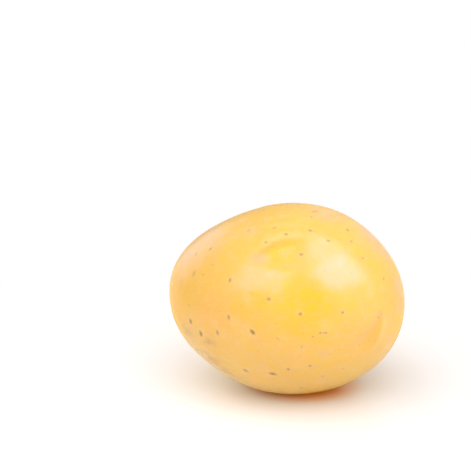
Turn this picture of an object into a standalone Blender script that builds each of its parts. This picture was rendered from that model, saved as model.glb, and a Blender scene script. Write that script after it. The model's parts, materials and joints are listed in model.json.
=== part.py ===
# Potato: one whole washed table potato, lying on the small flat spot that it rests on.
# Metres, +Z up. The long axis runs along X, with the stem end at -X and the rose end at +X.
# The origin is the middle of the underside of the bounding box.

import math

import bmesh
import bpy
from mathutils import Vector

for leftover in list(bpy.data.objects):
    bpy.data.objects.remove(leftover, do_unlink=True)

MM = 0.001

# Driving dimensions, in millimetres
LENGTH = 77.5       # along X, stem end to rose end
DEPTH = 65.5        # along Y, front to back
HEIGHT = 61.8       # along Z, flat spot to top
FLAT_DEPTH = 1.0    # how much of the round underside the flat spot takes away

# The cage that the soft form is grown from
CAGE_CUTS = 11      # cuts along each edge of the starting cube
SMOOTH_LEVELS = 1   # Subdivision Surface levels
CUTTER_SIZE = 60.0  # side of the box that cuts the flat spot, in millimetres

# Washed yellow skin
SKIN_COLOUR = (0.88, 0.60, 0.20, 1.0)
SKIN_ROUGHNESS = 0.45

# Every place below is a direction from the middle of the tuber. Turn goes from the rose end (+X)
# towards the back (+Y), and rise goes up. Turn, rise and spread are in degrees.

# Where the tuber grew fuller or leaner than an ellipsoid: the skin moves out by amount, in millimetres,
# and spread is the half width of the swelling.
SWELLINGS = (
    {"turn": 195, "rise": -43, "amount": -2.0, "spread": 29},  # lean under the stem end
    {"turn": -12, "rise": -38, "amount": 1.3, "spread": 32},   # full under the rose end
    {"turn": 156, "rise": 57, "amount": -1.2, "spread": 20},   # shoulder over the stem end
    {"turn": 175, "rise": 20, "amount": 0.7, "spread": 18},    # blunt top of the stem end
    {"turn": 10, "rise": 30, "amount": -0.3, "spread": 24},    # slope over the rose end
    {"turn": 40, "rise": 62, "amount": 0.6, "spread": 20},     # crown
    {"turn": 105, "rise": -15, "amount": 0.9, "spread": 34},   # full back
    {"turn": 60, "rise": 25, "amount": -0.8, "spread": 26},    # lean behind the rose end
    {"turn": -115, "rise": 5, "amount": 0.4, "spread": 24},    # full front
)

# Eyes: shallow hollows that wind round the long axis and lie closer together towards the rose end.
# Depth is in millimetres.
EYES = (
    {"turn": -97, "rise": 47, "depth": 0.9, "spread": 7},
    {"turn": -54, "rise": -9, "depth": 1.1, "spread": 7},
    {"turn": 22, "rise": 8, "depth": 1.8, "spread": 8},
    {"turn": 20, "rise": -52, "depth": 1.3, "spread": 7},
    {"turn": 48, "rise": 42, "depth": 1.5, "spread": 7},
    {"turn": 64, "rise": -24, "depth": 1.5, "spread": 7},
    {"turn": 104, "rise": 14, "depth": 1.5, "spread": 7},
    {"turn": 122, "rise": 56, "depth": 1.2, "spread": 7},
    {"turn": 140, "rise": -26, "depth": 1.4, "spread": 7},
)
# Where the stolon came away, just behind the tip of the stem end
STEM_SCAR = {"turn": 158, "rise": 3, "depth": 1.9, "spread": 8}


def direction(turn, rise):
    turn, rise = math.radians(turn), math.radians(rise)
    return Vector((math.cos(rise) * math.cos(turn), math.cos(rise) * math.sin(turn), math.sin(rise)))


# A bell curve around a place on the skin: 1 in its middle, falling off over its spread
def bell(out, place):
    away = math.degrees(out.angle(direction(place["turn"], place["rise"])))
    return math.exp(-((away / place["spread"]) ** 2))


# How far the skin stands out of the plain ellipsoid in a direction, in millimetres
def swelling(out):
    grown = sum(place["amount"] * bell(out, place) for place in SWELLINGS)
    sunk = sum(place["depth"] * bell(out, place) for place in (*EYES, STEM_SCAR))
    return grown - sunk


# A cube's grid blown up to a sphere has no poles. Its directions are then stretched to the tuber.
def tuber_cage():
    half = (LENGTH / 2, DEPTH / 2, (HEIGHT + FLAT_DEPTH) / 2)
    bm = bmesh.new()
    bmesh.ops.create_cube(bm, size=2.0)
    bmesh.ops.subdivide_edges(bm, edges=bm.edges[:], cuts=CAGE_CUTS, use_grid_fill=True)
    for vert in bm.verts:
        # Equal steps of angle instead of equal steps along the cube's side
        out = Vector([math.tan(c * math.pi / 4) for c in vert.co]).normalized()
        skin = Vector([h * c for h, c in zip(half, out)])
        normal = Vector([c / h for h, c in zip(half, out)]).normalized()
        vert.co = (skin + normal * swelling(out)) * MM
    mesh = bpy.data.meshes.new("potato")
    bm.to_mesh(mesh)
    bm.free()
    mesh.shade_smooth()
    return mesh


# Smoothing draws the form in a little, so the cage is stretched until the smooth form has its exact
# length, depth and height. It ends centred over the origin, with its underside FLAT_DEPTH too low.
def fit_cage(potato):
    size = Vector((LENGTH, DEPTH, HEIGHT + FLAT_DEPTH)) * MM
    smooth = potato.evaluated_get(bpy.context.evaluated_depsgraph_get())
    skin = [vert.co.copy() for vert in smooth.data.vertices]
    low = Vector([min(co[i] for co in skin) for i in range(3)])
    high = Vector([max(co[i] for co in skin) for i in range(3)])
    foot = Vector(((low.x + high.x) / 2, (low.y + high.y) / 2, low.z))
    for vert in potato.data.vertices:
        away = vert.co - foot
        vert.co = [away[i] * size[i] / (high[i] - low[i]) for i in range(3)]
        vert.co.z -= FLAT_DEPTH * MM


def skin_material():
    material = bpy.data.materials.new("potato_skin")
    material.use_nodes = True
    shader = material.node_tree.nodes["Principled BSDF"]
    shader.inputs["Base Color"].default_value = SKIN_COLOUR
    shader.inputs["Roughness"].default_value = SKIN_ROUGHNESS
    shader.inputs["Metallic"].default_value = 0.0
    return material


def new_collection(name):
    collection = bpy.data.collections.new(name)
    bpy.context.scene.collection.children.link(collection)
    return collection


# A box just below the ground, which takes the round underside away
def flat_spot_cutter(collection):
    bpy.ops.mesh.primitive_cube_add(size=CUTTER_SIZE * MM, location=(0, 0, -CUTTER_SIZE * MM / 2))
    cutter = bpy.context.active_object
    cutter.name = "flat_spot_cutter"
    cutter.hide_render = True
    cutter.display_type = "WIRE"
    for old in list(cutter.users_collection):
        old.objects.unlink(cutter)
    collection.objects.link(cutter)
    return cutter


def build_potato(collection, cutters):
    potato = bpy.data.objects.new("potato", tuber_cage())
    collection.objects.link(potato)
    potato.data.materials.append(skin_material())

    smooth = potato.modifiers.new("smooth", "SUBSURF")
    smooth.levels = SMOOTH_LEVELS
    smooth.render_levels = SMOOTH_LEVELS
    fit_cage(potato)

    flat_spot = potato.modifiers.new("flat_spot", "BOOLEAN")
    flat_spot.operation = "DIFFERENCE"
    flat_spot.solver = "EXACT"
    flat_spot.object = flat_spot_cutter(cutters)


build_potato(new_collection("Potato"), new_collection("Cutters"))
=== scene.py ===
import json
import math
import random

import bmesh
import bpy
import numpy as np
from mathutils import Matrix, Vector, noise
from mathutils.bvhtree import BVHTree

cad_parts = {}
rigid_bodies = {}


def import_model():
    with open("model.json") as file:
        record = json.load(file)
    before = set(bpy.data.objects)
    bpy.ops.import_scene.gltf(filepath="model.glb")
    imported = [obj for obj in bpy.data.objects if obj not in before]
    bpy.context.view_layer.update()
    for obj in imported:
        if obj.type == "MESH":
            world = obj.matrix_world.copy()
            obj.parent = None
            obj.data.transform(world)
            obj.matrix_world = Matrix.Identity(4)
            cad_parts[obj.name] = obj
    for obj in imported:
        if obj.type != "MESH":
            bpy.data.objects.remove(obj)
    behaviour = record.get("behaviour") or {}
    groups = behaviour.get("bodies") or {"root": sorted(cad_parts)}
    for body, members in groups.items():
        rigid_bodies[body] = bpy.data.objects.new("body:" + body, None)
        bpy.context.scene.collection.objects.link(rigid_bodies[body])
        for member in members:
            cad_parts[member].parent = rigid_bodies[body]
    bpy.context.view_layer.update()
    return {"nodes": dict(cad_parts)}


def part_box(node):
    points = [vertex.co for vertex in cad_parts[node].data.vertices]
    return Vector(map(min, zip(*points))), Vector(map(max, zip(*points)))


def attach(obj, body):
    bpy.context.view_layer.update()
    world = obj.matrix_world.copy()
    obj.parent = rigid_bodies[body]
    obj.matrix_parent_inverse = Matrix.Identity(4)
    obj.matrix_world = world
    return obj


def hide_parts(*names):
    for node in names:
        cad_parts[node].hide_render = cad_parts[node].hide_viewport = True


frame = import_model()
mm = 0.001

# Lengths in mm
tuber = {
    "gridCuts": 31,      # cuts along each side of the starting cube
    "smoothPasses": 2,   # evens out the facets of the CAD skin
    "levels": 2,         # subdivision of the finished form
    "flatDepth": 1.0,    # how much of the round underside the flat spot takes away
    "swell": 0.10,       # broad lumps of the flesh
    "swellSize": 14.0,   # from lump to lump
    "ripple": 0.014,     # fine unevenness of the skin
    "rippleSize": 2.2,
    "flatClear": 0.15,   # the skin has no detail up to this height above the table
    "flatFade": 1.6,     # and over how much more height it fades in
}
markDepth = 8.0    # a mark on the skin fades out this far from the plane that it is drawn on, mm

low, high = (Vector(corner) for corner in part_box("potato"))
boxMiddle = (low + high) / 2

# The round form reaches a little under the table, so its heart lies lower than the middle of the box
heart = boxMiddle - Vector((0, 0, tuber["flatDepth"] * mm / 2))
reach = high - heart

# The camera looks down a little from in front. Lens and sensor are in mm, elevation in degrees, and
# distance, aside and above in metres, from the middle of the potato.
view = {
    "lens": 100,
    "sensor": 36,
    "elevation": 15,
    "distance": 0.4315,
    "aside": -0.0169,
    "above": 0.0234,
}
tilt = math.radians(view["elevation"])
viewAhead = Vector((0, math.cos(tilt), -math.sin(tilt)))
viewUp = Vector((0, math.sin(tilt), math.cos(tilt)))
viewPlace = boxMiddle - viewAhead * view["distance"] + viewUp * view["above"]
viewPlace.x += view["aside"]


# Places on the skin are directions from the heart, in degrees: turn goes from the rose end (+X)
# towards the back (+Y), rise goes up
def towards(turn, rise):
    turn, rise = math.radians(turn), math.radians(rise)
    return Vector((math.cos(rise) * math.cos(turn), math.cos(rise) * math.sin(turn), math.sin(rise)))


# The CAD solid's triangles are loose, so a merged copy is what the rays meet
def cadSurface():
    bm = bmesh.new()
    bm.from_mesh(frame["nodes"]["potato"].data)
    bmesh.ops.remove_doubles(bm, verts=bm.verts[:], dist=0.001 * mm)
    tree = BVHTree.FromBMesh(bm)
    bm.free()
    return tree


cadTree = cadSurface()


# Where a direction meets the skin, and which way the skin faces there
def onSkin(out):
    ray = Vector([part * half for part, half in zip(out, reach)]).normalized()
    spot, normal, _, _ = cadTree.ray_cast(heart, ray)
    return spot, normal


# The turn and rise of a direction, the other way round from towards
def turnAndRise(out):
    return math.degrees(math.atan2(out.y, out.x)), math.degrees(math.asin(out.z))


# Each side of the starting cube gets its own sixth of the map: a column for each axis, a row for each way
def unwrapCube(bm):
    layer = bm.loops.layers.uv.new("OFBake")
    columns, rows = 3, 2
    margin = 0.01    # kept clear round each sixth, as a part of it
    filled = 1 - 2 * margin
    for face in bm.faces:
        column = max(range(3), key=lambda i: abs(face.normal[i]))
        row = 0 if face.normal[column] > 0 else 1
        across, upward = [i for i in range(3) if i != column]
        for loop in face.loops:
            u = (loop.vert.co[across] + 1) / 2
            v = (loop.vert.co[upward] + 1) / 2
            loop[layer].uv = ((column + margin + u * filled) / columns, (row + margin + v * filled) / rows)


# A cube's grid drawn onto the CAD skin has no poles, and its faces stay even all over
def growTuber():
    bm = bmesh.new()
    bmesh.ops.create_cube(bm, size=2.0)
    bmesh.ops.subdivide_edges(bm, edges=bm.edges[:], cuts=tuber["gridCuts"], use_grid_fill=True)
    unwrapCube(bm)
    for vert in bm.verts:
        out = Vector([math.tan(c * math.pi / 4) for c in vert.co]).normalized()
        vert.co, _ = onSkin(out)
    for _ in range(tuber["smoothPasses"]):
        bmesh.ops.smooth_vert(
            bm, verts=bm.verts[:], factor=0.5, use_axis_x=True, use_axis_y=True, use_axis_z=True)
    bmesh.ops.recalc_face_normals(bm, faces=bm.faces[:])
    mesh = bpy.data.meshes.new("potatoForm")
    bm.to_mesh(mesh)
    bm.free()
    form = bpy.data.objects.new("potatoForm", mesh)
    bpy.context.scene.collection.objects.link(form)
    fine = form.modifiers.new("fine", "SUBSURF")
    fine.levels = fine.render_levels = tuber["levels"]
    grown = bpy.data.meshes.new_from_object(form.evaluated_get(bpy.context.evaluated_depsgraph_get()))
    bpy.data.objects.remove(form, do_unlink=True)
    grown.name = "potatoSkin"
    return grown


skinMesh = growTuber()
count = len(skinMesh.vertices)
points = np.empty(count * 3)
skinMesh.vertices.foreach_get("co", points)
points = points.reshape(-1, 3)
normals = np.empty(count * 3)
skinMesh.vertex_normals.foreach_get("vector", normals)
normals = normals.reshape(-1, 3)
aboveTable = np.clip((points[:, 2] / mm - tuber["flatClear"]) / tuber["flatFade"], 0, 1)
lift = np.zeros(count)    # how far the skin moves out at each point, mm
print("tuber grown:", count, "points")


def bellOf(value):
    return np.exp(-value * value)


# Soft random lumps of a given size in mm, about -1 to 1. Each octave is half as big and half as strong.
def lumps(size, seed, octaves=3):
    shift = Vector((seed, seed * 1.7, -seed))    # each seed reads its own part of the noise
    return np.array([noise.fractal(Vector(p) / (size * mm) + shift, 1.0, 2.0, octaves) for p in points])


# Axes lying on the skin at a place: along the tuber, across it, and straight out
def skinAxes(place):
    centre, out = onSkin(towards(place["turn"], place["rise"]))
    along = (Vector((1, 0, 0)) - out * out.x).normalized()
    across = out.cross(along)
    lean = math.radians(place["lean"])
    first = along * math.cos(lean) + across * math.sin(lean)
    second = across * math.cos(lean) - along * math.sin(lean)
    return np.array(centre), np.array(first), np.array(second), np.array(out)


# Each point's place on those axes, in mm
def localPlace(place):
    centre, first, second, out = skinAxes(place)
    offset = (points - centre) / mm
    return offset @ first, offset @ second, offset @ out


# Each eye is a soft brow curved over a shallow hollow with a small bud in it. Lengths in mm: half the
# brow's length, how far it bows, how deep the hollow is and how far it reaches, and how high the lip
# stands. Lean turns it, in degrees. Flare widens the hollow towards one end, strong is the end where the
# brow shows most and budAt is where the bud sits, all from -1 to 1. The last five numbers are how strongly
# the eye is coloured: painted shade in the crease and in the hollow, a painted highlight along the lip,
# and the bud's and the far edge's own colour.
eyes = [
    {"turn": -97, "rise": 54, "lean": 17, "half": 7.4, "bow": 1.9,
     "depth": 0.34, "reach": 3.0, "lip": 0.10, "flare": 0.0, "strong": -0.8, "budAt": -0.9,
     "creaseShade": 1.0, "hollowShade": 0.6, "pale": 0.9, "bud": 0.1, "edge": 0.0},
    {"turn": -42, "rise": -8, "lean": -109, "half": 6.4, "bow": 1.7,
     "depth": 0.29, "reach": 5.8, "lip": 0.08, "flare": 0.6, "strong": -0.3, "budAt": -0.95,
     "creaseShade": 0.30, "hollowShade": 0.9, "pale": 0.4, "bud": 0.6, "edge": 0.30},
    {"turn": 22, "rise": 8, "lean": -80, "half": 5.5, "bow": 2.5,
     "depth": 0.56, "reach": 2.8, "lip": 0.15, "flare": 0.0, "strong": 0.0, "budAt": 0.0,
     "creaseShade": 0.6, "hollowShade": 0.6, "pale": 0.6, "bud": 0.9, "edge": 0.3},
    {"turn": 20, "rise": -52, "lean": -100, "half": 5.5, "bow": 2.0,
     "depth": 0.43, "reach": 2.6, "lip": 0.12, "flare": 0.2, "strong": 0.2, "budAt": 0.2,
     "creaseShade": 0.5, "hollowShade": 0.6, "pale": 0.5, "bud": 0.7, "edge": 0.3},
    {"turn": 48, "rise": 42, "lean": -70, "half": 7.0, "bow": 2.6,
     "depth": 0.50, "reach": 3.0, "lip": 0.12, "flare": -0.2, "strong": 0.0, "budAt": 0.0,
     "creaseShade": 0.6, "hollowShade": 0.5, "pale": 0.6, "bud": 0.8, "edge": 0.3},
    {"turn": 64, "rise": -24, "lean": -110, "half": 7.0, "bow": 2.6,
     "depth": 0.50, "reach": 3.0, "lip": 0.12, "flare": 0.0, "strong": -0.2, "budAt": -0.1,
     "creaseShade": 0.5, "hollowShade": 0.6, "pale": 0.5, "bud": 0.8, "edge": 0.3},
    {"turn": 104, "rise": 14, "lean": -80, "half": 8.0, "bow": 3.0,
     "depth": 0.50, "reach": 3.2, "lip": 0.12, "flare": 0.3, "strong": 0.2, "budAt": 0.1,
     "creaseShade": 0.6, "hollowShade": 0.6, "pale": 0.6, "bud": 0.8, "edge": 0.3},
    {"turn": 122, "rise": 56, "lean": -60, "half": 8.0, "bow": 2.6,
     "depth": 0.37, "reach": 3.0, "lip": 0.09, "flare": 0.0, "strong": 0.0, "budAt": 0.0,
     "creaseShade": 0.4, "hollowShade": 0.5, "pale": 0.5, "bud": 0.6, "edge": 0.2},
    {"turn": 140, "rise": -26, "lean": -100, "half": 7.0, "bow": 2.6,
     "depth": 0.43, "reach": 3.0, "lip": 0.12, "flare": -0.3, "strong": 0.3, "budAt": 0.1,
     "creaseShade": 0.5, "hollowShade": 0.5, "pale": 0.5, "bud": 0.7, "edge": 0.2},
]

# What all the eyes share, mostly in mm and measured down from the brow
brow = {
    "creaseAt": 0.7,       # where the skin steps down into the hollow
    "creaseSoft": 0.4,     # over how much of its width
    "creaseShadeAt": 1.1,       # painted shade along the foot of that step
    "creaseShadeWidth": 0.8,
    "lipReach": 2.4,       # how far over the brow the lip stands up
    "lipHighlightAt": -0.6,        # a painted highlight along the lip
    "lipHighlightWidth": 1.3,
    "budDrop": 0.8,
    "budHeight": 0.25,
    "edgeAt": 1.05,        # the far edge, in widths of the hollow
    "edgeWidth": 1.1,
    "narrowest": 0.3,      # how far flare may narrow and widen a hollow
    "widest": 2.0,
    "wanderSize": 5.0,     # keeps the brows from being perfect arcs
    "wander": 0.6,
}


# How far down from the middle of an eye its brow is, at a place along it from -1 to 1
def browLine(eye, along):
    return eye["bow"] * (0.5 - along ** 2)


eyeCreaseShade, eyeHollowShade, eyeLipHighlight, eyeBud, eyeEdge = np.zeros((5, count))
astray = brow["wander"] * lumps(brow["wanderSize"], 5.3, 2)
for eye in eyes:
    x, y, z = localPlace(eye)
    along = x / eye["half"]
    under = browLine(eye, along) - y + astray    # how far a point lies under the brow
    shallow = bellOf(z / markDepth)
    ends = bellOf(along ** 2) * shallow
    side = np.clip(1 + eye["strong"] * along, 0, 2)
    width = eye["reach"] * np.clip(1 + eye["flare"] * along, brow["narrowest"], brow["widest"])

    ledge = 1 / (1 + np.exp((brow["creaseAt"] - under) / brow["creaseSoft"]))
    hollow = ledge * bellOf((np.maximum(under, 0) / width) ** 2)
    lip = (1 - ledge) * bellOf(under / brow["lipReach"])
    budAcross = x - eye["budAt"] * eye["half"]
    budDown = y - (browLine(eye, eye["budAt"]) - brow["budDrop"])
    bud = eye["bud"] * bellOf(np.hypot(budAcross, budDown)) * shallow
    lift += ends * side * (eye["lip"] * lip - eye["depth"] * hollow) + brow["budHeight"] * bud

    # Painted shade along the foot of the step and a painted highlight along the lip; the far edge is the
    # eye's own colour
    creaseShadeLine = bellOf((under - brow["creaseShadeAt"]) / brow["creaseShadeWidth"])
    lipHighlightLine = bellOf((under - brow["lipHighlightAt"]) / brow["lipHighlightWidth"])
    farEdge = bellOf((under - brow["edgeAt"] * width) / brow["edgeWidth"])
    strongest = 1 + abs(eye["strong"])
    # How strongly painted shade darkens the crease and the hollow, and a painted highlight lightens the lip
    eyeCreaseShade = np.maximum(eyeCreaseShade, eye["creaseShade"] * ends * (side / strongest) ** 2 * creaseShadeLine)
    eyeHollowShade = np.maximum(eyeHollowShade, eye["hollowShade"] * ends * hollow)
    eyeLipHighlight = np.maximum(eyeLipHighlight, eye["pale"] * ends * lipHighlightLine)
    eyeEdge = np.maximum(eyeEdge, eye["edge"] * ends * farEdge)
    eyeBud = np.maximum(eyeBud, bud)
print("eyes:", len(eyes))

# The round scar where the stolon came away. Radius, depth, rim height and wobbleSize are in mm, and rimAt
# and rimWidth in radii. It is a little longer than wide, with an uneven edge.
stemScar = {"turn": 158, "rise": 3, "lean": 0, "radius": 1.9, "depth": 0.7, "rim": 0.22, "rimAt": 1.35,
            "rimWidth": 0.3, "longer": 1.2, "wobble": 0.12, "wobbleSize": 1.2}
x, y, z = localPlace(stemScar)
away = np.hypot(x, y * stemScar["longer"]) / stemScar["radius"]
away += stemScar["wobble"] * lumps(stemScar["wobbleSize"], 7.7, 2)
shallow = bellOf(z / markDepth)
scarPit = bellOf(away ** 2) * shallow
scarRim = bellOf((away - stemScar["rimAt"]) / stemScar["rimWidth"]) * shallow
lift += stemScar["rim"] * scarRim - stemScar["depth"] * scarPit

# Pores: small brown pits with a low rim
pores = {
    "seed": 31,
    "scattered": 190,     # how many seeded pores cover the hidden sides
    "apart": 3.4,         # between the middles of seeded pores, mm
    "smallest": 0.25,     # half length of a seeded pore, mm, and how much more the largest has
    "sizeRange": 0.55,
    "keepOff": 2.0,       # no seeded pore lies this near the table, mm
    "grow": 1.25,         # makes every pore this much larger than its halves
    "depth": 0.10,        # of the pit, mm
    "pitWidth": 1.1,      # in halves of the pore, as rimAt and rimWidth are
    "rim": 0.35,          # height of the rim round the pit, as a part of the depth
    "rimAt": 1.5,
    "rimWidth": 0.5,
}

# The ones on the front are placed one by one, as the camera sees them: how far right of the middle and
# above it, half length and half width, all in mm, lean in degrees, and tone for how dark it is.
frontPores = [
    {"right": -11.3, "up": -11.9, "long": 0.95, "wide": 0.48, "lean": -42, "tone": 1.00},
    {"right": -6.0, "up": -0.9, "long": 0.56, "wide": 0.46, "lean": 0, "tone": 0.85},
    {"right": 4.5, "up": -5.8, "long": 0.50, "wide": 0.40, "lean": 0, "tone": 0.80},
    {"right": 18.5, "up": -5.3, "long": 0.42, "wide": 0.38, "lean": 0, "tone": 0.90},
    {"right": -18.8, "up": 5.4, "long": 0.60, "wide": 0.40, "lean": 80, "tone": 0.90},
    {"right": -19.2, "up": -6.8, "long": 0.75, "wide": 0.40, "lean": 95, "tone": 0.75},
    {"right": -31.8, "up": -8.2, "long": 0.72, "wide": 0.56, "lean": 100, "tone": 1.00},
    {"right": -28.4, "up": -12.3, "long": 0.85, "wide": 0.58, "lean": 100, "tone": 1.00},
    {"right": -22.9, "up": -12.0, "long": 0.75, "wide": 0.42, "lean": 100, "tone": 0.80},
    {"right": -13.7, "up": -24.5, "long": 0.80, "wide": 0.56, "lean": -25, "tone": 1.00},
    {"right": -4.6, "up": -25.6, "long": 0.98, "wide": 0.56, "lean": -10, "tone": 1.00},
    {"right": 0.5, "up": -24.1, "long": 0.45, "wide": 0.35, "lean": 0, "tone": 0.95},
    {"right": 7.7, "up": -23.0, "long": 0.45, "wide": 0.35, "lean": 0, "tone": 1.00},
    {"right": 5.0, "up": -16.7, "long": 0.38, "wide": 0.34, "lean": 0, "tone": 0.55},
    {"right": 12.9, "up": -12.1, "long": 0.45, "wide": 0.32, "lean": 0, "tone": 0.80},
    {"right": 11.1, "up": -12.1, "long": 0.36, "wide": 0.24, "lean": 30, "tone": 1.00},
    {"right": 8.6, "up": -13.3, "long": 0.40, "wide": 0.22, "lean": 0, "tone": 0.70},
    {"right": 4.8, "up": -30.3, "long": 0.60, "wide": 0.34, "lean": 0, "tone": 1.00},
    {"right": 12.0, "up": -26.3, "long": 0.50, "wide": 0.36, "lean": 0, "tone": 0.75},
    {"right": 4.8, "up": 13.9, "long": 0.60, "wide": 0.45, "lean": 20, "tone": 0.85},
    {"right": 13.7, "up": 18.5, "long": 0.50, "wide": 0.42, "lean": 0, "tone": 0.85},
    {"right": 7.7, "up": 21.8, "long": 0.70, "wide": 0.50, "lean": 0, "tone": 0.80},
    {"right": -0.2, "up": 20.6, "long": 0.60, "wide": 0.50, "lean": 10, "tone": 0.70},
    {"right": -4.2, "up": 22.7, "long": 0.70, "wide": 0.60, "lean": 20, "tone": 0.50},
    {"right": 8.1, "up": 26.4, "long": 0.60, "wide": 0.45, "lean": 0, "tone": 0.80},
    {"right": 9.2, "up": 28.2, "long": 1.10, "wide": 0.50, "lean": 20, "tone": 0.70},
    {"right": 15.1, "up": 26.5, "long": 0.90, "wide": 0.70, "lean": 60, "tone": 0.35},
    {"right": -2.9, "up": -14.0, "long": 0.60, "wide": 0.20, "lean": -35, "tone": 0.55},
    {"right": -0.7, "up": -15.0, "long": 0.30, "wide": 0.20, "lean": 0, "tone": 0.35},
    {"right": 25.3, "up": 12.8, "long": 0.50, "wide": 0.45, "lean": 0, "tone": 0.80},
    {"right": 21.4, "up": 18.3, "long": 0.42, "wide": 0.38, "lean": 0, "tone": 1.00},
    {"right": 20.1, "up": 22.0, "long": 0.65, "wide": 0.48, "lean": 0, "tone": 1.00},
    {"right": -6.8, "up": 17.9, "long": 0.50, "wide": 0.40, "lean": 0, "tone": 0.70},
    {"right": -13.2, "up": 18.0, "long": 0.34, "wide": 0.30, "lean": 0, "tone": 0.40},
    {"right": -12.6, "up": 21.9, "long": 0.60, "wide": 0.45, "lean": 10, "tone": 0.60},
    {"right": -25.2, "up": 15.7, "long": 0.60, "wide": 0.45, "lean": 30, "tone": 0.75},
    {"right": -30.0, "up": 13.9, "long": 0.60, "wide": 0.45, "lean": 40, "tone": 0.65},
    {"right": -24.5, "up": 10.5, "long": 0.40, "wide": 0.30, "lean": 0, "tone": 0.60},
    {"right": -27.6, "up": 7.2, "long": 0.40, "wide": 0.34, "lean": 0, "tone": 0.50},
    {"right": -30.7, "up": 7.5, "long": 0.90, "wide": 0.50, "lean": 70, "tone": 0.55},
    {"right": -32.2, "up": -2.8, "long": 0.42, "wide": 0.34, "lean": 90, "tone": 0.60},
    {"right": 21.4, "up": 7.9, "long": 0.30, "wide": 0.26, "lean": 0, "tone": 0.45},
    {"right": 18.3, "up": 7.6, "long": 0.28, "wide": 0.24, "lean": 0, "tone": 0.35},
    {"right": 23.6, "up": 2.5, "long": 0.34, "wide": 0.28, "lean": 0, "tone": 0.35},
    {"right": 25.9, "up": -2.7, "long": 0.38, "wide": 0.34, "lean": 0, "tone": 0.45},
    {"right": 30.4, "up": -7.0, "long": 0.55, "wide": 0.26, "lean": 20, "tone": 0.80},
    {"right": 32.1, "up": 5.8, "long": 0.60, "wide": 0.40, "lean": 80, "tone": 0.80},
    {"right": 37.9, "up": -6.9, "long": 0.40, "wide": 0.34, "lean": 80, "tone": 0.45},
    {"right": 18.8, "up": -23.9, "long": 0.34, "wide": 0.28, "lean": 0, "tone": 0.90},
    {"right": 4.3, "up": -19.9, "long": 0.30, "wide": 0.26, "lean": 0, "tone": 0.40},
    {"right": -3.2, "up": -29.3, "long": 0.40, "wide": 0.30, "lean": 0, "tone": 0.40},
]


# The direction of the skin that the camera sees at a distance in mm right of the middle and above it
def seenDirection(right, up):
    aim = boxMiddle + (Vector((right, 0, 0)) + viewUp * up) * mm - viewPlace
    spot = cadTree.ray_cast(viewPlace, aim.normalized())[0]
    return Vector([away / half for away, half in zip(spot - heart, reach)]).normalized()


for pore in frontPores:
    pore["turn"], pore["rise"] = turnAndRise(seenDirection(pore["right"], pore["up"]))


# Seeded pores keep clear of the front, where the pores are placed one by one, and of each other
def scatterPores():
    rng = random.Random(pores["seed"])
    front = Vector((0, -1, 0.27)).normalized()
    facesFront = 0.3    # skin that faces the front more than this is left to the placed pores
    taken = [onSkin(towards(pore["turn"], pore["rise"]))[0] for pore in frontPores]
    found = []
    while len(found) < pores["scattered"]:
        out = Vector([rng.gauss(0, 1) for _ in range(3)]).normalized()
        size = pores["smallest"] + pores["sizeRange"] * rng.random() ** 2    # most are small
        shape = rng.uniform(0.5, 0.95)
        lean = rng.uniform(-90, 90)
        tone = rng.uniform(0.25, 1.0)
        spot, normal = onSkin(out)
        tooNear = any((spot - other).length < pores["apart"] * mm for other in taken)
        if normal.dot(front) > facesFront or spot.z < pores["keepOff"] * mm or tooNear:
            continue
        taken.append(spot)
        turn, rise = turnAndRise(out)
        found.append({"turn": turn, "rise": rise, "long": size, "wide": size * shape,
                      "lean": lean, "tone": tone})
    return found


# Every point keeps its offset from the nearest pore, measured in that pore's own long and wide halves,
# so the material can draw each pore sharply whatever the mesh
allPores = frontPores + scatterPores()
poreSpot = np.zeros((count, 3))
poreTone = np.zeros(count)
nearest = np.full(count, np.inf)
for pore in allPores:
    x, y, z = localPlace(pore)
    distance = np.sqrt(x * x + y * y + z * z)
    closer = distance < nearest
    nearest[closer] = distance[closer]
    long, wide = pore["long"] * pores["grow"], pore["wide"] * pores["grow"]
    poreSpot[closer] = np.column_stack((x / long, y / wide, z / long))[closer]
    poreTone[closer] = pore["tone"]
fromPore = np.linalg.norm(poreSpot, axis=1)
poreRim = pores["rim"] * bellOf((fromPore - pores["rimAt"]) / pores["rimWidth"])
porePit = bellOf(fromPore / pores["pitWidth"])
lift += (poreRim - porePit) * pores["depth"] * poreTone
print("pores:", len(allPores))

lift += tuber["swell"] * lumps(tuber["swellSize"], 3.1, 2)
lift += tuber["ripple"] * lumps(tuber["rippleSize"], 8.4)
points += normals * (lift * aboveTable * mm)[:, None]
points[:, 2] = np.maximum(points[:, 2], 0)
skinMesh.vertices.foreach_set("co", points.ravel())
print("skin shaped")

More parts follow.
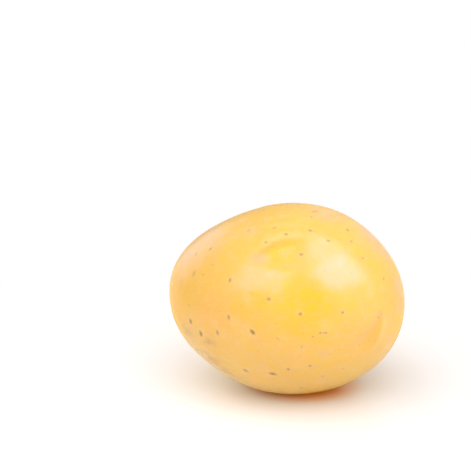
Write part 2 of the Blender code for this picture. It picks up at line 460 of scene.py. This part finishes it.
# Patches where the skin is more golden, more peach, dusky or rosy. Spread is a half width in degrees.
tints = {
    "golden": [
        {"turn": -85, "rise": 12, "spread": 18, "amount": 1.0},
        {"turn": -98, "rise": 47, "spread": 9, "amount": 0.9},
        {"turn": 70, "rise": 10, "spread": 34, "amount": 0.7},
        {"turn": 160, "rise": -30, "spread": 30, "amount": 0.5},
    ],
    "peach": [
        {"turn": -130, "rise": 8, "spread": 14, "amount": 0.9},
        {"turn": -56, "rise": -12, "spread": 10, "amount": 0.5},
        {"turn": -90, "rise": -34, "spread": 20, "amount": 0.5},
        {"turn": 120, "rise": -10, "spread": 24, "amount": 0.6},
        {"turn": 40, "rise": 30, "spread": 20, "amount": 0.5},
        {"turn": -140, "rise": 66, "spread": 16, "amount": 0.5},
        {"turn": -163, "rise": 3, "spread": 14, "amount": 1.0},
        {"turn": -25, "rise": 40, "spread": 12, "amount": 0.8},
        {"turn": -17, "rise": 4, "spread": 11, "amount": 0.6},
    ],
    "dusky": [
        {"turn": -149, "rise": -12, "spread": 6, "amount": 0.7},
        {"turn": -137, "rise": -27, "spread": 8, "amount": 0.8},
        {"turn": -131, "rise": -37, "spread": 7, "amount": 0.8},
        {"turn": -132, "rise": -13, "spread": 4, "amount": 0.7},
        {"turn": 95, "rise": 40, "spread": 14, "amount": 0.6},
        {"turn": 150, "rise": 20, "spread": 14, "amount": 0.6},
    ],
    "rosy": [
        {"turn": -110, "rise": 41, "spread": 4, "amount": 0.9},
        {"turn": -129, "rise": 58, "spread": 4, "amount": 0.6},
        {"turn": -74, "rise": -15, "spread": 2, "amount": 0.6},
        {"turn": -165, "rise": 42, "spread": 16, "amount": 0.9},
        {"turn": -19, "rise": 10, "spread": 12, "amount": 0.8},
        {"turn": -22, "rise": 70, "spread": 8, "amount": 0.8},
        {"turn": -6, "rise": 42, "spread": 13, "amount": 0.9},
        {"turn": 30, "rise": -20, "spread": 24, "amount": 0.6},
    ],
}


# How strongly a set of patches shows at each point
def patchMask(patches):
    mask = np.zeros(count)
    outward = (points - np.array(heart)) / np.array(reach)
    outward /= np.linalg.norm(outward, axis=1)[:, None]
    for patch in patches:
        cosine = outward @ np.array(towards(patch["turn"], patch["rise"]))
        angle = np.degrees(np.arccos(np.clip(cosine, -1, 1)))
        mask = np.maximum(mask, patch["amount"] * bellOf(angle / patch["spread"]))
    return mask


def paint(name, values, kind="FLOAT"):
    layer = skinMesh.attributes.new(name, kind, "POINT")
    field = "vector" if kind == "FLOAT_VECTOR" else "value"
    layer.data.foreach_set(field, values.ravel())


paint("poreSpot", poreSpot, "FLOAT_VECTOR")
paint("poreTone", poreTone)
# The eyes' crease and hollow masks carry painted shade, and the lip mask a painted highlight
paint("eyeCreaseShade", eyeCreaseShade)
paint("eyeHollowShade", eyeHollowShade)
paint("eyeLipHighlight", eyeLipHighlight)
paint("eyeBud", eyeBud)
paint("eyeEdge", eyeEdge)
paint("scarPit", scarPit)
paint("scarRim", scarRim)
for name, patches in tints.items():
    paint(name, patchMask(patches))
print("skin painted")


# Shorthands for shader nodes
def wire(tree, socket, value):
    if isinstance(value, bpy.types.NodeSocket):
        tree.links.new(value, socket)
    else:
        socket.default_value = value


def calculate(tree, operation, first, second=0.0):
    node = tree.nodes.new("ShaderNodeMath")
    node.operation = operation
    wire(tree, node.inputs[0], first)
    wire(tree, node.inputs[1], second)
    return node.outputs[0]


def vectorMaths(tree, operation, first, second=(0, 0, 0)):
    node = tree.nodes.new("ShaderNodeVectorMath")
    node.operation = operation
    wire(tree, node.inputs[0], first)
    wire(tree, node.inputs[1], second)
    return node


def remap(tree, value, start, end, low=0.0, high=1.0):
    node = tree.nodes.new("ShaderNodeMapRange")
    node.interpolation_type = "SMOOTHSTEP"
    wire(tree, node.inputs["Value"], value)
    for name, number in (("From Min", start), ("From Max", end), ("To Min", low), ("To Max", high)):
        wire(tree, node.inputs[name], number)
    return node.outputs["Result"]


# Several sockets of a Mix node share their names, so the colour ones are picked by type
def blendColours(tree, amount, first, second):
    node = tree.nodes.new("ShaderNodeMix")
    node.data_type = "RGBA"
    wire(tree, node.inputs["Factor"], amount)
    colours = [socket for socket in node.inputs if socket.type == "RGBA"]
    wire(tree, colours[0], first)
    wire(tree, colours[1], second)
    return next(socket for socket in node.outputs if socket.type == "RGBA")


def painted(tree, name, output="Fac"):
    node = tree.nodes.new("ShaderNodeAttribute")
    node.attribute_name = name
    return node.outputs[output]


# Object coordinates in steps of a size in mm, drawn out along the axes by stretch
def placeIn(tree, size, stretch=(1, 1, 1)):
    place = tree.nodes.new("ShaderNodeMapping")
    wire(tree, place.inputs["Vector"], tree.nodes.new("ShaderNodeTexCoord").outputs["Object"])
    place.inputs["Scale"].default_value = [1 / (size * s * mm) for s in stretch]
    return place.outputs[0]


def cloudy(tree, size, detail=3.0, roughness=0.5, stretch=(1, 1, 1)):
    node = tree.nodes.new("ShaderNodeTexNoise")
    wire(tree, node.inputs["Vector"], placeIn(tree, size, stretch))
    wire(tree, node.inputs["Scale"], 1.0)
    wire(tree, node.inputs["Detail"], detail)
    wire(tree, node.inputs["Roughness"], roughness)
    return node.outputs["Fac"]


# Colours of the washed skin, and how it shines
skinLook = {
    "cream": (0.735, 0.480, 0.090, 1),
    "gold": (0.75, 0.482, 0.020, 1),
    "peach": (0.74, 0.435, 0.078, 1),
    # pale blotches in the skin, and also a painted highlight along the eyes' lips
    "pale": (0.76, 0.52, 0.15, 1),
    "deep": (0.72, 0.43, 0.06, 1),
    "dusk": (0.46, 0.29, 0.09, 1),
    "rose": (0.70, 0.45, 0.22, 1),
    # painted shade in the eyes' hollows
    "hollow": (0.75, 0.44, 0.045, 1),
    # painted shade in the eyes' creases
    "creaseShade": (0.76, 0.37, 0.02, 1),
    "bud": (0.62, 0.36, 0.14, 1),
    "pore": (0.325, 0.21, 0.0, 1),
    "halo": (0.77, 0.52, 0.16, 1),
    "scar": (0.40, 0.22, 0.03, 1),
    "scarHeart": (0.20, 0.10, 0.0, 1),
    "specular": 0.75,
    "shineColour": (0.45, 0.45, 1.0, 1),    # the shine is cooler than the skin
    "subsurface": 0.6,
    "lightReach": 6.5,               # how far light spreads in the flesh, mm
    "reachByColour": (1.0, 0.42, 0.12),
    "speckSize": 1.8,                # from speck to speck, mm
    "bump": 0.05,                    # height of the grain, mm
    "bumpStrength": 0.4,
}


# How each pattern turns into a mask, which goes from low at start to high at end (from 0 to 1 if not said)
mottle = {
    "goldInBlotches": {"start": 0.20, "end": 0.60, "low": 0.55, "high": 1.0},
    "goldClouds": {"start": 0.50, "end": 0.75, "high": 0.50},
    "goldFlecks": {"start": 0.50, "end": 0.68, "high": 0.50},
    "peachInBlotches": {"start": 0.25, "end": 0.65, "low": 0.35, "high": 1.0},
    "paleBlotches": {"start": 0.52, "end": 0.68, "high": 0.50},
    "paleFlecks": {"start": 0.46, "end": 0.32, "high": 0.40},
    "deepStreaks": {"start": 0.50, "end": 0.30, "high": 0.35},
    "deepFine": {"start": 0.45, "end": 0.25, "high": 0.20},
    "roseInBlotches": {"start": 0.30, "end": 0.60, "low": 0.40, "high": 1.0},
    "duskInFlecks": {"start": 0.35, "end": 0.60, "low": 0.15, "high": 0.80},
    "speck": {"start": 0.18, "end": 0.05},
    "speckFaintness": {"start": 0.2, "end": 0.9},
    "poreUnevenness": {"start": 0.3, "end": 0.7, "low": -0.25, "high": 0.25},
    "poreHalo": {"start": 2.6, "end": 1.3},
    "poreMiddle": {"start": 1.4, "end": 0.35},
    "scar": {"start": 0.40, "end": 0.85},
    "scarHeart": {"start": 0.95, "end": 1.20},
    "scarRough": {"start": 0.40, "end": 0.85, "high": 0.45},
    "roughInFine": {"start": 0.3, "end": 0.7, "low": 0.18, "high": 0.27},
}


# Gold, peach, pale and dusky patches, broken up into blotches, flecks and fine streaks along the tuber
def mottledColour(tree, streaks, fine):
    broad = cloudy(tree, 22, 2)
    blotches = cloudy(tree, 6, 4, 0.55)
    flecks = cloudy(tree, 2.4, 3, 0.6, (1.6, 1, 0.8))

    def within(patch, pattern, mask):
        return calculate(tree, "MULTIPLY", painted(tree, patch), remap(tree, pattern, **mottle[mask]))

    gold = within("golden", blotches, "goldInBlotches")
    gold = calculate(tree, "ADD", gold, remap(tree, broad, **mottle["goldClouds"]))
    gold = calculate(tree, "ADD", gold, remap(tree, flecks, **mottle["goldFlecks"]))
    colour = blendColours(tree, gold, skinLook["cream"], skinLook["gold"])
    colour = blendColours(tree, within("peach", blotches, "peachInBlotches"), colour, skinLook["peach"])
    paleBlotches = remap(tree, blotches, **mottle["paleBlotches"])
    pale = calculate(tree, "ADD", paleBlotches, remap(tree, flecks, **mottle["paleFlecks"]))
    colour = blendColours(tree, pale, colour, skinLook["pale"])
    colour = blendColours(tree, remap(tree, streaks, **mottle["deepStreaks"]), colour, skinLook["deep"])
    colour = blendColours(tree, remap(tree, fine, **mottle["deepFine"]), colour, skinLook["deep"])
    colour = blendColours(tree, within("rosy", blotches, "roseInBlotches"), colour, skinLook["rose"])
    return blendColours(tree, within("dusky", flecks, "duskInFlecks"), colour, skinLook["dusk"])


# Tiny specks, one here and there
def speckMask(tree):
    cells = tree.nodes.new("ShaderNodeTexVoronoi")
    wire(tree, cells.inputs["Vector"], placeIn(tree, skinLook["speckSize"]))
    wire(tree, cells.inputs["Scale"], 1.0)
    faint = remap(tree, cells.outputs["Color"], **mottle["speckFaintness"])
    return calculate(tree, "MULTIPLY", remap(tree, cells.outputs["Distance"], **mottle["speck"]), faint)


# A brown middle with an uneven edge in a pale halo
def poreMasks(tree):
    spot = vectorMaths(tree, "LENGTH", painted(tree, "poreSpot", "Vector"))
    uneven = remap(tree, cloudy(tree, 0.35, 2), **mottle["poreUnevenness"])
    edge = calculate(tree, "ADD", spot.outputs["Value"], uneven)
    tone = painted(tree, "poreTone")
    haloTone = calculate(tree, "MULTIPLY", tone, 0.5)
    halo = calculate(tree, "MULTIPLY", remap(tree, edge, **mottle["poreHalo"]), haloTone)
    middleTone = calculate(tree, "MULTIPLY", tone, 0.9)
    middle = calculate(tree, "MULTIPLY", remap(tree, edge, **mottle["poreMiddle"]), middleTone)
    return halo, middle


def skinMaterial():
    material = bpy.data.materials.new("potatoSkin")
    material.use_nodes = True
    tree = material.node_tree
    shader = tree.nodes["Principled BSDF"]
    streaks = cloudy(tree, 0.9, 3, 0.6, (2.5, 1.2, 1))
    fine = cloudy(tree, 0.7, 3, 0.6)
    colour = mottledColour(tree, streaks, fine)
    # Painted shade in the eyes' hollows and creases, and a painted highlight along their lips
    colour = blendColours(tree, painted(tree, "eyeHollowShade"), colour, skinLook["hollow"])
    colour = blendColours(tree, painted(tree, "eyeLipHighlight"), colour, skinLook["pale"])
    colour = blendColours(tree, painted(tree, "eyeEdge"), colour, skinLook["rose"])
    colour = blendColours(tree, painted(tree, "eyeCreaseShade"), colour, skinLook["creaseShade"])
    colour = blendColours(tree, painted(tree, "eyeBud"), colour, skinLook["bud"])
    rim = calculate(tree, "MULTIPLY", painted(tree, "scarRim"), 0.4)
    colour = blendColours(tree, rim, colour, skinLook["dusk"])
    scar = calculate(tree, "ADD", painted(tree, "scarPit"), calculate(tree, "MULTIPLY", fine, 0.3))
    colour = blendColours(tree, remap(tree, scar, **mottle["scar"]), colour, skinLook["scar"])
    colour = blendColours(tree, remap(tree, scar, **mottle["scarHeart"]), colour, skinLook["scarHeart"])
    specks = calculate(tree, "MULTIPLY", speckMask(tree), 0.5)
    colour = blendColours(tree, specks, colour, skinLook["pore"])
    halo, pore = poreMasks(tree)
    colour = blendColours(tree, halo, colour, skinLook["halo"])
    colour = blendColours(tree, pore, colour, skinLook["pore"])
    wire(tree, shader.inputs["Base Color"], colour)

    rough = remap(tree, fine, **mottle["roughInFine"])
    rough = calculate(tree, "ADD", rough, calculate(tree, "MULTIPLY", pore, 0.3))
    rough = calculate(tree, "ADD", rough, remap(tree, scar, **mottle["scarRough"]))
    wire(tree, shader.inputs["Roughness"], rough)
    wire(tree, shader.inputs["Specular IOR Level"], skinLook["specular"])
    wire(tree, shader.inputs["Specular Tint"], skinLook["shineColour"])
    wire(tree, shader.inputs["Subsurface Weight"], skinLook["subsurface"])
    wire(tree, shader.inputs["Subsurface Radius"], skinLook["reachByColour"])
    wire(tree, shader.inputs["Subsurface Scale"], skinLook["lightReach"] * mm)

    bump = tree.nodes.new("ShaderNodeBump")
    grain = calculate(tree, "ADD", calculate(tree, "MULTIPLY", fine, 0.4), cloudy(tree, 2.0))
    grain = calculate(tree, "ADD", grain, calculate(tree, "MULTIPLY", streaks, 0.5))
    wire(tree, bump.inputs["Height"], grain)
    wire(tree, bump.inputs["Strength"], skinLook["bumpStrength"])
    wire(tree, bump.inputs["Distance"], skinLook["bump"] * mm)
    wire(tree, shader.inputs["Normal"], bump.outputs["Normal"])
    return material


skinMesh.materials.append(skinMaterial())
skinMesh.shade_smooth()
potatoSkin = bpy.data.objects.new("potatoSkin", skinMesh)
bpy.context.scene.collection.objects.link(potatoSkin)
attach(potatoSkin, "root")
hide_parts("potato")
print("skin material made")


# The white room: how much light each part of it throws on the potato, and in what colour. Low down the
# light is warm, as if it came off more potatoes. Spread is the half width of a glow in degrees.
room = {
    "evenly": 0.23,
    "colour": (1.0, 0.90, 0.84),
    "glows": [
        {"turn": 178, "rise": 35, "spread": 50, "bright": 0.55, "colour": (1.0, 0.88, 0.50)},
        {"turn": 5, "rise": 28, "spread": 50, "bright": 0.38, "colour": (1.0, 0.88, 0.60)},
        {"turn": -32, "rise": 5, "spread": 38, "bright": 1.4, "colour": (1.0, 0.82, 0.55)},
        {"turn": 90, "rise": 20, "spread": 75, "bright": 0.32, "colour": (1.0, 0.92, 0.65)},
        {"turn": 132, "rise": 16, "spread": 30, "bright": 1.30, "colour": (1.0, 0.97, 0.95)},
        {"turn": 60, "rise": 14, "spread": 32, "bright": 0.28, "colour": (1.0, 0.88, 1.10)},
        {"turn": 0, "rise": 90, "spread": 60, "bright": 0.40, "colour": (1.0, 0.97, 0.97)},
        {"turn": -148, "rise": 4, "spread": 38, "bright": 1.10, "colour": (1.0, 0.80, 0.55)},
        {"turn": -92, "rise": -4, "spread": 36, "bright": 1.90, "colour": (1.0, 0.78, 0.46)},
        {"turn": -90, "rise": 55, "spread": 45, "bright": 0.45, "colour": (1.0, 0.95, 0.90)},
    ],
    "backdrop": (1, 1, 1, 1),
}


def whiteRoom():
    world = bpy.data.worlds.new("whiteRoom")
    world.use_nodes = True
    tree = world.node_tree
    direction = tree.nodes.new("ShaderNodeTexCoord").outputs["Generated"]
    light = Vector(room["colour"]) * room["evenly"]
    for glow in room["glows"]:
        toGlow = vectorMaths(tree, "DOT_PRODUCT", direction, towards(glow["turn"], glow["rise"]))
        edge = math.cos(math.radians(glow["spread"]))
        shine = vectorMaths(tree, "SCALE", glow["colour"])
        strength = remap(tree, toGlow.outputs["Value"], edge, 1.0, high=glow["bright"])
        wire(tree, shine.inputs["Scale"], strength)
        light = vectorMaths(tree, "ADD", light, shine.outputs["Vector"]).outputs["Vector"]
    walls = tree.nodes["Background"]
    wire(tree, walls.inputs["Color"], light)

    # the camera itself sees plain white
    backdrop = tree.nodes.new("ShaderNodeBackground")
    wire(tree, backdrop.inputs["Color"], room["backdrop"])
    mix = tree.nodes.new("ShaderNodeMixShader")
    wire(tree, mix.inputs[0], tree.nodes.new("ShaderNodeLightPath").outputs["Is Camera Ray"])
    wire(tree, mix.inputs[1], walls.outputs[0])
    wire(tree, mix.inputs[2], backdrop.outputs[0])
    wire(tree, tree.nodes["World Output"].inputs["Surface"], mix.outputs[0])
    bpy.context.scene.world = world


# Softboxes: direction in degrees, distance and size in metres. Four light only the skin, and a
# broad one over the front lights only the table, so the shadow stays close round the potato.
softBoxes = [
    {"name": "keyBox", "turn": -23, "rise": 50, "away": 0.8, "size": (0.70, 0.78), "bright": 0.60,
     "colour": (1.0, 0.99, 1.32), "lights": "potatoSkin"},
    {"name": "keyCore", "turn": -30, "rise": 40, "away": 0.7, "size": (0.52, 0.34), "bright": 3.5,
     "colour": (1.0, 0.99, 1.32), "lights": "potatoSkin"},
    {"name": "keyTop", "turn": -8, "rise": 64, "away": 0.7, "size": (0.40, 0.36), "bright": 1.5,
     "colour": (1.0, 0.99, 1.32), "lights": "potatoSkin"},
    {"name": "fillBox", "turn": -118, "rise": 43, "away": 0.6, "size": (0.44, 0.33), "bright": 2.7,
     "colour": (1.0, 0.99, 1.30), "lights": "potatoSkin"},
    {"name": "tableBox", "turn": -110, "rise": 52, "away": 0.8, "size": (2.40, 1.40), "bright": 1.15,
     "colour": (0.92, 1.00, 1.20), "lights": "tableTop"},
]


def hangSoftBox(box):
    light = bpy.data.lights.new(box["name"], "AREA")
    light.shape = "RECTANGLE"
    light.size, light.size_y = box["size"]
    light.energy = box["bright"] * math.pi * light.size * light.size_y
    light.color = box["colour"]
    lamp = bpy.data.objects.new(box["name"], light)
    way = towards(box["turn"], box["rise"])
    lamp.location = boxMiddle + way * box["away"]
    lamp.rotation_euler = (-way).to_track_quat("-Z", "Y").to_euler()
    bpy.context.scene.collection.objects.link(lamp)

    # it lights nothing but the objects in this collection
    lit = bpy.data.collections.new(box["name"] + "Lights")
    lit.objects.link(bpy.data.objects[box["lights"]])
    lamp.light_linking.receiver_collection = lit


# A white table that fades into the white room. Close under the potato a glow is painted into its colour,
# standing in for light that has passed through the skin. Past the potato's middle, towards the back, the
# table is painted warmer for every ray but the camera's, a painted reflection and bounce as if more
# potatoes lay there. Size and distances are in metres.
table = {
    "size": 8.0,
    "colour": (0.91, 0.91, 0.92, 1),
    "roughness": 0.2,
    "fadeFrom": 0.04,
    "fadeTo": 0.16,
    # painted glow that stands in for light passed through the skin
    "paintedGlow": (1.0, 0.48, 0.11, 1),
    "paintedGlowCentre": (0.006, 0, 0),
    "paintedGlowShape": (0.85, 1, 1),    # longer along the potato
    "paintedGlowFrom": 0.008,
    "paintedGlowTo": 0.019,
    # painted reflection and bounce of more potatoes, seen by every ray but the camera's
    "behind": (0.95, 0.72, 0.38, 1),
    "behindFrom": 0.0,
    "behindTo": 0.03,
}


def layTable():
    bm = bmesh.new()
    bmesh.ops.create_grid(bm, x_segments=1, y_segments=1, size=table["size"] / 2)
    mesh = bpy.data.meshes.new("tableTop")
    bm.to_mesh(mesh)
    bm.free()
    material = bpy.data.materials.new("whiteTable")
    material.use_nodes = True
    tree = material.node_tree
    shader = tree.nodes["Principled BSDF"]
    place = tree.nodes.new("ShaderNodeTexCoord").outputs["Object"]
    seen = tree.nodes.new("ShaderNodeLightPath").outputs["Is Camera Ray"]

    # Past the potato's middle, every ray but the camera's sees the table painted warmer: a painted
    # reflection and bounce of more potatoes
    apart = tree.nodes.new("ShaderNodeSeparateXYZ")
    wire(tree, apart.inputs["Vector"], place)
    behind = remap(tree, apart.outputs["Y"], table["behindFrom"], table["behindTo"])
    paintedReflection = calculate(tree, "MULTIPLY", behind, calculate(tree, "SUBTRACT", 1.0, seen))
    colour = blendColours(tree, paintedReflection, table["colour"], table["behind"])

    # A painted glow close under the potato, standing in for light that has passed through the skin
    oval = vectorMaths(tree, "SUBTRACT", place, table["paintedGlowCentre"]).outputs["Vector"]
    oval = vectorMaths(tree, "MULTIPLY", oval, table["paintedGlowShape"]).outputs["Vector"]
    fromMiddle = vectorMaths(tree, "LENGTH", oval).outputs["Value"]
    paintedGlowMask = remap(tree, fromMiddle, table["paintedGlowTo"], table["paintedGlowFrom"])
    colour = blendColours(tree, paintedGlowMask, colour, table["paintedGlow"])
    wire(tree, shader.inputs["Base Color"], colour)
    wire(tree, shader.inputs["Roughness"], table["roughness"])

    # far out, the camera sees the white of the room instead
    distance = vectorMaths(tree, "LENGTH", place).outputs["Value"]
    faded = remap(tree, distance, table["fadeFrom"], table["fadeTo"])
    mix = tree.nodes.new("ShaderNodeMixShader")
    wire(tree, mix.inputs[0], calculate(tree, "MULTIPLY", faded, seen))
    wire(tree, mix.inputs[1], shader.outputs[0])
    wire(tree, mix.inputs[2], tree.nodes.new("ShaderNodeEmission").outputs[0])
    wire(tree, tree.nodes["Material Output"].inputs["Surface"], mix.outputs[0])
    mesh.materials.append(material)
    top = bpy.data.objects.new("tableTop", mesh)
    bpy.context.scene.collection.objects.link(top)


def setCamera():
    camera = bpy.data.cameras.new("camera")
    camera.lens = view["lens"]
    camera.sensor_width = view["sensor"]
    stand = bpy.data.objects.new("camera", camera)
    stand.location = viewPlace
    stand.rotation_euler = (math.pi / 2 - tilt, 0, 0)
    bpy.context.scene.collection.objects.link(stand)
    bpy.context.scene.camera = stand


layTable()
whiteRoom()
for box in softBoxes:
    hangSoftBox(box)
setCamera()
bpy.context.scene.view_settings.view_transform = "Standard"
print("studio set up")
